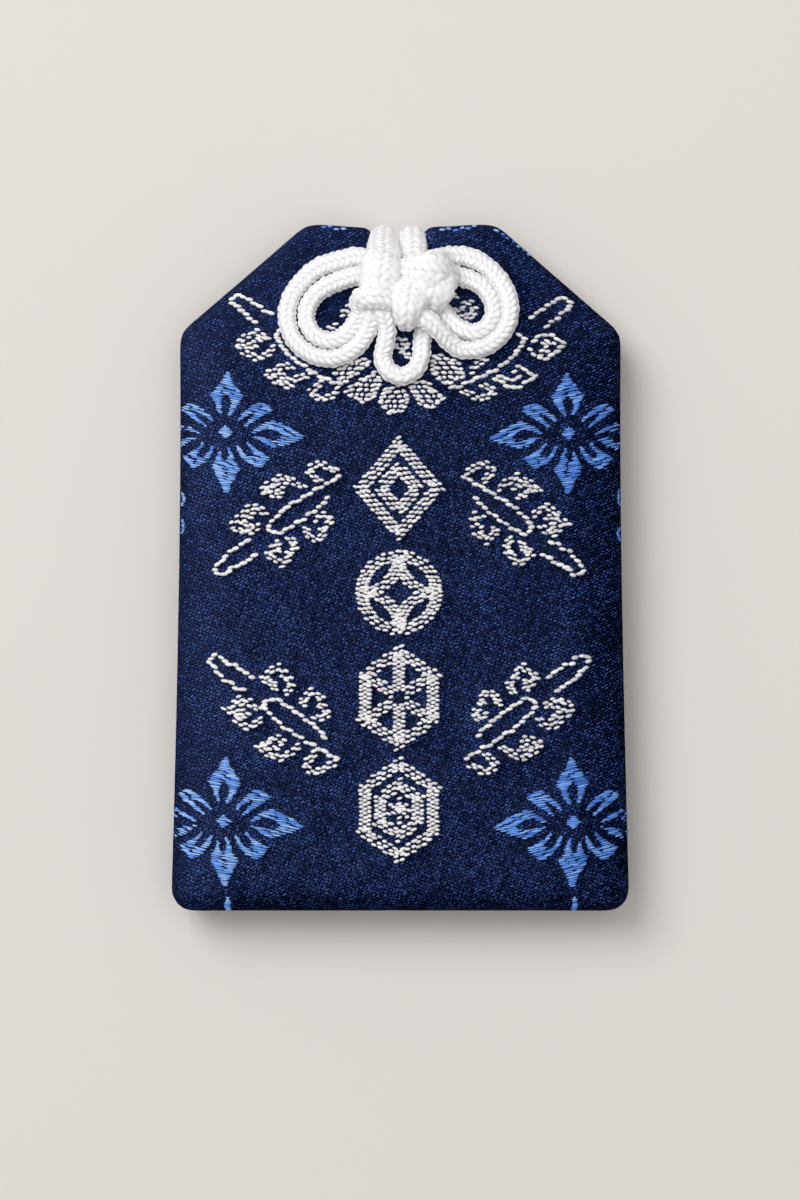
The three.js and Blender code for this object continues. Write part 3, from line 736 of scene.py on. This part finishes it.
# Floats along a stroke, in one row or side by side. Each leans between the stroke and the weft, so that
# they lie like the turns of a rope.
stitch = {
    "single": (0.47, 0.23), "sideBySide": (0.36, 0.18), "rowGap": 0.42, "lean": 0.3, "crossing": 0.32,
    "nearest": 0.44, "farthest": 0.7, "zigzag": 0.09, "shake": 0.05, "slip": 0.06, "turn": 0.16,
    "lengths": (0.8, 1.15), "widths": (0.85, 1.1), "crossLength": 0.82,
}


def strokeFloats(points, rows=1, share=1):
    halfLength, halfWidth = [size * share for size in stitch["single" if rows == 1 else "sideBySide"]]
    floats = []
    fine = 0.05
    due = 0
    zigzag = 1
    for place, along, _ in smoothWay([(x, y, 0) for x, y in points], fine):
        due -= fine
        if due > 0:
            continue
        slope = math.atan(along.y / along.x) if abs(along.x) > 1e-4 else math.pi / 2
        lean = stitch["lean"] * math.sin(2 * slope)
        cross = abs(math.sin(slope - lean))
        due = min(stitch["farthest"], max(stitch["nearest"], stitch["crossing"] / max(0.05, cross)))
        zigzag = -zigzag
        for row in range(rows):
            offset = (row - (rows - 1) / 2) * stitch["rowGap"] + zigzag * stitch["zigzag"] * (1 - cross)
            offset += rng.uniform(-stitch["shake"], stitch["shake"])
            ahead = row * due / 2 + rng.uniform(-stitch["slip"], stitch["slip"])
            x = place.x - along.y * offset + along.x * ahead
            y = place.y + along.x * offset + along.y * ahead
            length = halfLength * (rng.uniform(*stitch["lengths"]) * mix(1, stitch["crossLength"], cross))
            angle = lean + rng.uniform(-stitch["turn"], stitch["turn"])
            floats.append((x, y, angle, length, halfWidth * rng.uniform(*stitch["widths"])))
    return floats


def spansAt(polygon, y):
    crossings = []
    for (x0, y0), (x1, y1) in zip(polygon, polygon[1:] + polygon[:1]):
        if (y0 <= y) != (y1 <= y):
            crossings.append(x0 + (y - y0) / (y1 - y0) * (x1 - x0))
    crossings.sort()
    return list(zip(crossings[::2], crossings[1::2]))


# Floats that fill a shape row by row, ragged at its edges, long rows cut into several
filling = {
    "inward": 0.08, "outward": 0.12, "whole": 1.3, "cuts": (0.5, 1.15), "shortest": 0.1, "turn": 0.09,
    "shake": 0.02,
}


def filledFloats(polygon, style, lean):
    inward, outward = filling["inward"], filling["outward"]
    pitch, longest, grow = style["pitch"], style["longest"], style["grow"]
    floats = []
    low = min(y for _, y in polygon)
    rows = math.ceil((max(y for _, y in polygon) - low) / pitch)
    for row in range(rows + 1):
        y = low + (row + 0.4) * pitch
        for start, end in spansAt(polygon, y):
            start += rng.uniform(-outward, inward) - grow
            end += rng.uniform(-inward, outward) + grow
            cuts = [start]
            while end - cuts[-1] > longest * filling["whole"]:
                cuts.append(cuts[-1] + longest * rng.uniform(*filling["cuts"]))
            cuts.append(end)
            for a, b in zip(cuts, cuts[1:]):
                half = max(filling["shortest"], (b - a) / 2 - style["gap"])
                angle = lean + rng.uniform(-filling["turn"], filling["turn"])
                shaken = y + rng.uniform(-filling["shake"], filling["shake"])
                floats.append(((a + b) / 2, shaken, angle, half, style["halfWidth"]))
    return floats


# One float: a low rounded grain, pointed at both ends, shorter where the cloth rolls away at the edges
grain = {
    "rings": [(-0.72, 0.7), (0, 1), (0.72, 0.7)], "sides": 6, "sit": 0.2, "steepest": 0.25, "shorten": 1.25,
    "shades": (0.15, 0.85), "paintedSheenSlope": 0.007, "castFrom": 0.04,
}


def floatPiece(name, floats, finish, height, front=True):
    vertices, faces, values = [], [], []
    sign = 1 if front else -1
    sides = grain["sides"]
    for x, y, angle, half, halfWidth in floats:
        start = Vector((x * sign * mm, y * mm, grain["castFrom"] * sign))
        place, normal, _, _ = surface.ray_cast(start, Vector((0, 0, -sign)))
        if place is None or normal.z * sign < grain["steepest"]:
            continue
        half *= min(1, grain["shorten"] * normal.z * sign)
        along = Vector((math.cos(angle) * sign, math.sin(angle), 0))
        along = (along - normal * along.dot(normal)).normalized()
        across = normal.cross(along)
        middle = place / mm + normal * height * grain["sit"]
        first = len(vertices)
        # Painted light: besides its random tone, each float is painted lighter the further left it lies and
        # darker the further right, as the light from the upper left falls on the satin
        shade = rng.uniform(*grain["shades"]) - grain["paintedSheenSlope"] * x
        for share, full in grain["rings"]:
            for k in range(sides):
                turn = 2 * math.pi * k / sides
                wide = math.cos(turn) * halfWidth * full
                high = math.sin(turn) * height * full
                vertices.append(middle + along * (share * half) + (across * wide + normal * high))
        vertices += [middle - along * half, middle + along * half]
        values += [shade] * (sides * 3 + 2)
        last = first + 2 * sides
        tip = first + 3 * sides
        for k in range(sides):
            j = (k + 1) % sides
            for ring in (first, first + sides):
                faces.append((ring + k, ring + j, ring + sides + j, ring + sides + k))
            faces.append((tip, first + j, first + k))
            faces.append((last + k, last + j, tip + 1))
    piece = addPiece(name, vertices, faces, finish, "shade", values)
    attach(piece, "pouch")


def placed(points, middle, size):
    return [(middle[0] + x * size[0], middle[1] + y * size[1]) for x, y in points]


# Blue flowers: eight petals with dark hearts, filled with fine level rows of satin
northPetal = [
    (0.24, 6.33), (0.81, 5.31), (1.83, 3.81), (1.39, 3.17), (0.96, 2.5), (0.44, 1.76), (0.33, 1.87),
    (0.57, 2.5), (0.71, 3.28), (0.03, 4), (-0.5, 3.46), (-0.58, 2.89), (-0.45, 2.1), (-0.5, 1.87),
    (-0.89, 2.54), (-1.13, 3.28), (-1.62, 3.81), (-0.36, 5.37),
]
southPetal = [
    (-0.56, -1.92), (-0.8, -2.55), (-1.38, -3.62), (-1.13, -4.4), (-0.75, -4.79), (-0.45, -5.47),
    (-0.06, -6.34), (0.32, -6.29), (0.46, -5.56), (0.81, -5.08), (1.1, -4.4), (1.53, -3.82), (0.9, -3.04),
    (0.81, -2.66), (0.57, -2.16), (0.33, -1.63), (0.27, -1.63), (0.46, -2.46), (0.03, -3.14),
    (-0.45, -2.85), (-0.56, -1.97),
]
eastPetal = [
    (2.85, -0.03), (3.43, 0.45), (4.11, 0.84), (4.99, 1.19), (5.9, 0.89), (7.02, 0.36), (8.31, -0.51),
    (7.51, -0.9), (6.34, -1.29), (5.08, -1.63), (4.11, -1.29), (3.43, -0.81), (2.9, -0.51), (2.94, -0.49),
    (3.92, -0.51), (4.69, -0.76), (5.38, -0.9), (6.01, -0.51), (5.76, -0.22), (5.08, 0.21), (4.4, 0.36),
    (3.82, 0.21), (2.99, -0.07),
]
northEastPetal = [
    (1.34, 1.19), (1.77, 1.87), (2.36, 2.39), (3.04, 2.89), (3.72, 3.13), (4.4, 2.89), (4.93, 2.39),
    (4.2, 1.91), (3.43, 1.43), (2.75, 1.04), (2.12, 0.6), (2.07, 0.71), (2.55, 1.23), (3.04, 1.72),
    (3.09, 2.06), (2.66, 1.96), (1.88, 1.57), (1.39, 1.13),
]
southEastPetal = [
    (2.31, -1.05), (2.85, -1.59), (3.72, -2.07), (4.74, -2.55), (4.21, -3.14), (3.67, -3.62),
    (3.14, -3.67), (2.36, -3.23), (1.77, -2.66), (1.44, -2.07), (1.26, -1.39), (1.34, -1.39),
    (1.77, -2.07), (2.36, -2.66), (3.14, -2.4), (2.9, -1.97), (2.36, -1.2),
]
heart = [(-0.8, -0.03), (0, 0.65), (0.81, -0.03), (0, -0.61)]
sidePetals = [eastPetal, northEastPetal, southEastPetal]
flower = [northPetal, southPetal, heart, *sidePetals, *[[(-x, y) for x, y in petal] for petal in sidePetals]]
flowers = [
    ((-18.5, 14.1), (1, 1)), ((17.5, 14), (-1, 1)), ((-18.7, -26.7), (1, 1.07)), ((18, -26.8), (-1, 1.07)),
    ((-18.4, -41), (0.45, 1)), ((18.3, -41), (-0.45, 1)),
]

# Bits of further flowers that the edges cut off: rows along the top, slivers at the sides
edgeBits = [
    [(-8.3, 36.1), (-7.2, 36), (-6.4, 35.75), (-5.6, 35.85)],
    [(4.3, 35.85), (5.6, 35.75), (6.9, 36), (8.3, 36.1)],
    [(10.1, 35.7), (11.9, 34.4), (13.7, 33)],
]
edgeSlivers = [
    [(-23.2, 7.9), (-22.8, 7.5), (-22.8, 6.9), (-23.2, 6.4)],
    [(-23.2, 5), (-22.8, 4.6), (-22.8, 4), (-23.2, 3.5)],
    [(23, 8.2), (22.6, 7.8), (22.6, 7), (23, 6.5)],
    [(23, 4.2), (22.6, 3.8), (22.6, 3.2), (23, 2.7)],
]
satin = {
    "pitch": 0.19, "longest": 1.4, "halfWidth": 0.1, "gap": -0.03, "lean": -0.12, "grow": 0.1, "height": 0.13,
    "edgeShare": 0.7,
}


def flowerFloats():
    floats = []
    for middle, size in flowers:
        for petal in flower:
            floats += filledFloats(placed(petal, middle, size), satin, satin["lean"] * size[0])
    for shape in edgeSlivers:
        floats += filledFloats(shape, satin, 0)
    for stroke in edgeBits:
        floats += strokeFloats(stroke, share=satin["edgeShare"])
    return floats


# Off-white scroll sprigs, drawn once for the upper left and mirrored for the others
sprig = [
    [(-6.6, 9.4), (-8, 8.6), (-9.2, 8), (-10.4, 7.2), (-11.7, 6.5), (-12.7, 5.6), (-13.4, 5),
     (-13.9, 4.4), (-13.9, 3.9), (-13.4, 3.5), (-12.6, 3.6), (-11.7, 4.1), (-10.6, 4.8), (-9.8, 5.4),
     (-9, 6), (-8.3, 6.6), (-7.7, 7.4)],
    [(-8.7, 8.9), (-9.3, 9.6), (-9.8, 10), (-9.4, 10.5), (-8.8, 10.8), (-8.3, 10.7), (-7.6, 10.3),
     (-6.8, 9.9)],
    [(-10.3, 8.2), (-11, 8.7), (-11.7, 9.1), (-12.4, 9.4), (-13.2, 9.1), (-13.9, 8.7), (-14.6, 8)],
    [(-14.5, 8), (-13.7, 8), (-12.9, 8.4), (-12.3, 8.4)],
    [(-13.5, 7.6), (-12.9, 7.4), (-12.2, 7.6)],
    [(-16.8, 5.5), (-16.2, 6), (-15.6, 6.3), (-15, 6.1), (-14.3, 5.5)],
    [(-16.6, 5.1), (-16, 5.2), (-15.4, 5.3)],
    [(-17.9, 4.3), (-17.3, 4.9), (-16.6, 4.7), (-16.2, 4.4)],
    [(-17.3, 4), (-16.6, 3.6)],
    [(-16.4, 3.9), (-15.9, 3.6), (-15.2, 4.1), (-14.7, 4.4)],
    [(-16.2, 2.6), (-16.8, 2.4), (-17.4, 1.9), (-18.1, 1.6), (-18.5, 1.1), (-19, 0.5), (-19.5, 0),
     (-19.6, -0.4), (-19.2, -0.8), (-18.7, -0.9), (-18.2, -0.6), (-17.9, -0.1), (-17.2, 0.1),
     (-16.5, 0.4), (-15.9, 0.9), (-15, 1.4)],
    [(-10, 4.1), (-9.9, 3.5), (-9.4, 3), (-8.9, 2.7), (-8.5, 3.1), (-8, 3.6), (-8.4, 4), (-7.8, 4.4),
     (-7.5, 5), (-8, 5.4), (-8.8, 5.1)],
    [(-12.9, 2.6), (-13.1, 1.9), (-13, 1.4)],
    [(-13.5, 1.9), (-14, 1.5), (-13.5, 0.9), (-12.9, 0.5), (-12.6, 0.3), (-12, 0.7), (-11.9, 1.3),
     (-11.3, 1.7), (-11.2, 2.1), (-11.5, 2.7), (-11.8, 3)],
]
sprigStems = (0, 10)
sprigs = [
    ((0, 0), (1, 1)), ((0.2, 0), (-0.96, 1)), ((-0.2, -10.2), (1.02, -1.05)), ((0.2, -10.2), (-0.99, -1.05)),
]

# The medallion behind the knot: fan petals, leaf lines, curls and side petals. Strokes of many stops are
# single lines, the rest are two rows wide.
medallionStrokes = [
    [(-13.8, 26.6), (-14.5, 27), (-15.3, 27.6), (-16.2, 28.2), (-17.1, 28.7), (-17.9, 28.3),
     (-17.9, 27.9), (-17, 27.2), (-16.3, 26.4), (-15.7, 25.8), (-15, 25.5)],
    [(-14.1, 23.8), (-14.6, 24.3), (-15.3, 24.6), (-16.1, 24.3), (-16.8, 23.8), (-17.3, 23.4),
     (-16.6, 23.1), (-15.8, 23.2), (-15.2, 22.9)],
    [(-15.5, 23.9), (-14.6, 23.8)],
    [(-16.6, 22.6), (-15.8, 22.1), (-15, 21.9), (-14.3, 22.1), (-13.8, 22.6), (-13.4, 23)],
    [(-11.6, 20.6), (-12.2, 21.2), (-12.8, 20.8), (-13.5, 20.4), (-14.1, 20.2), (-13.5, 19.7),
     (-12.8, 19.3), (-11.8, 18.9)],
    [(-12.6, 20.3), (-12.2, 19.7), (-11.5, 19.5), (-10.6, 19.9), (-9.7, 19.9)],
    [(-12.9, 24.8), (-13.2, 24.3), (-12.8, 23.5), (-12.1, 22.5), (-11.2, 21.7), (-10.1, 20.9),
     (-9.2, 20.3), (-8.1, 19.7), (-7, 19.3), (-6.3, 19.1)],
    [(-8.3, 19.2), (-8.9, 18.9), (-9.5, 18.4), (-9.1, 17.9), (-8.2, 17.6), (-7.4, 17.9), (-6.7, 18.4)],
    [(-6.4, 26.6), (-5.6, 27.2), (-5.2, 26.4)],
    [(-8, 25), (-7.2, 25.2), (-6.5, 25.1)],
    [(13.7, 26.3), (14.3, 26.7), (15, 27.3), (15.8, 27.8), (16.7, 28.3), (17.1, 28.5), (17.8, 27.6),
     (17.1, 26.9), (16.7, 26.5), (15.9, 25.8), (15.1, 25.3)],
    [(13.9, 23.7), (14.5, 24.3), (15.3, 24.4), (16.3, 24), (17, 23.4), (16.4, 22.8), (15.9, 22.3),
     (15.3, 21.9), (14.7, 21.8), (13.9, 22.2), (13.3, 22.9)],
    [(14.9, 23.7), (15.6, 23.5), (15.3, 22.9), (14.6, 22.5)],
    [(11.7, 20.5), (12.2, 20.9), (12.9, 20.7), (13.4, 20.2), (14, 20), (13.2, 19.5), (12.6, 19),
     (11.8, 18.7), (11, 19), (10.3, 19.4), (9.8, 19.8), (10.3, 20), (11.2, 19.6), (12.1, 19.7),
     (12.4, 20.1)],
    [(12.4, 24.4), (12.9, 24), (12.8, 23.6), (12.3, 22.9), (11.8, 22.1), (11, 21.5), (10.3, 20.9),
     (9.3, 20.4), (8.2, 19.9), (7.3, 19.5), (6.3, 19), (5, 18.6)],
    [(9.1, 22), (8.1, 21.3), (7.1, 20.4)],
    [(8.5, 19.1), (9.1, 18.7), (9.6, 18.3), (8.8, 17.8), (8.1, 17.6), (7.5, 17.9), (6.7, 18.3)],
    [(6.3, 27.6), (6.9, 27.8), (7.6, 27.3), (7.5, 26.7), (6.9, 26.1), (6.5, 26)],
    [(5.2, 28.9), (5.6, 28.2)],
    [(5.2, 27.1), (5.9, 27), (6.5, 26.6)],
    [(0.5, 22.4), (0.8, 21.8)],
]
medallionPetals = [
    [(-6.2, 18.3), (-5.3, 19), (-4.4, 19.6), (-3.4, 20.2), (-2.6, 20.5), (-2, 19.6), (-2.4, 18.5),
     (-2.9, 17.6), (-3.8, 17.1), (-5, 17.4), (-5.8, 17.9)],
    [(-7.4, 20.3), (-5.9, 21.2), (-4.4, 21.8), (-3.1, 21.8), (-4, 20.7), (-5, 20), (-5.8, 19.4),
     (-6.7, 19.4)],
    [(0.7, 19), (1.4, 19.4), (2.1, 19.7), (2.8, 19.4), (3.3, 18.5), (3.9, 18.2), (4.7, 17.8), (4.2, 17.2),
     (3.8, 16.8), (2.9, 16.4), (2.1, 16.6), (1.5, 17.4), (1, 18.2)],
    [(3.2, 22.4), (3.8, 22.4), (5, 21.9), (6.2, 21.4), (6.5, 20.4), (6.9, 20), (6.1, 19.6), (5.2, 19.1),
     (4.6, 18.9), (3.9, 19.4), (3, 20.3), (2.9, 21.2)],
    [(-0.9, 23.4), (-0.2, 24.1), (0.7, 23.8), (0.7, 23), (0, 22.5), (-0.6, 22.8)],
    [(-2.5, 17.3), (-1.9, 18.6), (-1.3, 19), (0, 19), (0.7, 18), (0.6, 16.7), (-0.2, 16), (-1.3, 15.9),
     (-2, 16.5)],
]


fan = {
    "pitch": 0.5, "longest": 0.85, "halfWidth": 0.19, "gap": 0.04, "lean": 0.25, "grow": 0, "inset": 0.86,
    "outline": 0.8,
}
singleFrom = 10


def ringPoints(width, height, count):
    turns = [2 * math.pi * i / count for i in range(count + 1)]
    return [(width * math.sin(t), height * math.cos(t)) for t in turns]


def edgesOf(points):
    return [[a, ((a[0] + b[0]) / 2, (a[1] + b[1]) / 2), b] for a, b in zip(points, points[1:])]


# Four plain ornaments down the middle: lozenge, linked rings, star of hemp leaves, tortoiseshell
def lozenge(w, h):
    return edgesOf(ringPoints(w, h, 4)) + edgesOf(ringPoints(w * 0.48, h * 0.48, 4))


def linkedRings(w, h):
    petals = []
    for sx, sy in ((1, 1), (1, -1), (-1, -1), (-1, 1)):
        arc = [(1 - math.cos(t), 1 - math.sin(t)) for t in [math.pi / 2 * i / 6 for i in range(7)]]
        petals.append([(sx * w * x, sy * h * y) for x, y in arc])
    return [ringPoints(w, h, 20)] + petals


def hempStar(w, h):
    tips = ringPoints(w, h, 6)
    spokes = [[(x * 0.16, y * 0.16), (x * 0.55, y * 0.55), (x * 0.9, y * 0.9)] for x, y in tips[:-1]]
    return edgesOf(tips) + spokes


def tortoiseshell(w, h):
    plates = edgesOf(ringPoints(w, h, 6)) + edgesOf(ringPoints(w * 0.55, h * 0.55, 6))
    return plates + [ringPoints(w * 0.14, h * 0.14, 6)]


ornaments = [
    (lozenge(4, 4.7), (-0.3, 8.2)), (linkedRings(3.9, 3.8), (-0.3, -2.7)),
    (hempStar(4.1, 4.8), (-0.3, -13.7)), (tortoiseshell(4.1, 4.8), (-0.3, -25.5)),
]


def sprigFloats():
    floats = []
    for middle, size in sprigs:
        for number, stroke in enumerate(sprig):
            floats += strokeFloats(placed(stroke, middle, size), rows=1 if number in sprigStems else 2)
    return floats


def medallionFloats():
    floats = []
    for stroke in medallionStrokes:
        floats += strokeFloats(stroke, rows=1 if len(stroke) >= singleFrom else 2)
    for petal in medallionPetals:
        middle = Vector((sum(x for x, _ in petal), sum(y for _, y in petal))) / len(petal)
        edge = [tuple(middle.lerp(Vector(point), fan["inset"])) for point in petal]
        floats += strokeFloats(edge + edge[:1], share=fan["outline"])
        floats += filledFloats(edge, fan, -fan["lean"] if petal[0][0] > -1 else fan["lean"])
    return floats


def ornamentFloats():
    floats = []
    for strokes, middle in ornaments:
        for stroke in strokes:
            floats += strokeFloats(placed(stroke, middle, (1, 1)), rows=3)
    return floats


whiteHeight = 0.25
floatPiece("blue_flowers_front", flowerFloats(), "blue", satin["height"])
floatPiece("white_sprigs_front", sprigFloats(), "white", whiteHeight)
floatPiece("white_medallion", medallionFloats(), "white", whiteHeight)
floatPiece("white_ornaments", ornamentFloats(), "white", whiteHeight)
floatPiece("blue_flowers_back", flowerFloats(), "blue", satin["height"], front=False)
floatPiece("white_sprigs_back", sprigFloats(), "white", whiteHeight, front=False)
print("figures woven")

# Pale floor, which the silk does not mirror
deselect()
bpy.ops.mesh.primitive_plane_add(size=3, location=(0, 0, 0))
floor = bpy.context.object
floor.name = "floor"
floorMaterial, _, floorShader = newMaterial("pale paper backdrop")
floorShader.inputs["Base Color"].default_value = linear("#dedad6")
floorShader.inputs["Roughness"].default_value = 0.9
floorShader.inputs["Specular IOR Level"].default_value = 0.1
floor.data.materials.append(floorMaterial)
floor.visible_glossy = False

# Soft light from the upper left, a broad one from above and an even fill. A low lamp on the left, which only
# gloss shows, brings out the silk's sheen. Each has its place, size and power.
lights = {
    "key": ((-0.37, 0.4, 0.74), 0.55, 4.7), "above": ((0, 0.05, 1), 1, 3.7),
    "sheen": ((-0.82, 0.6, 0.3), 0.4, 7.5),
}
fill = 0.32
for name, (place, size, power) in lights.items():
    data = bpy.data.lights.new(name, "AREA")
    data.shape = "DISK"
    data.size = size
    data.energy = power
    lamp = bpy.data.objects.new(name, data)
    lamp.location = place
    lamp.visible_glossy = name == "sheen"
    lamp.visible_diffuse = name != "sheen"
    lamp.rotation_euler = Vector(place).to_track_quat("Z", "Y").to_euler()
    scene.collection.objects.link(lamp)
world = bpy.data.worlds.new("studio")
world.use_nodes = True
background = world.node_tree.nodes["Background"]
background.inputs["Color"].default_value = linear("#fff9f4")
background.inputs["Strength"].default_value = fill
scene.world = world
world.cycles_visibility.glossy = False
scene.view_settings.view_transform = "Standard"
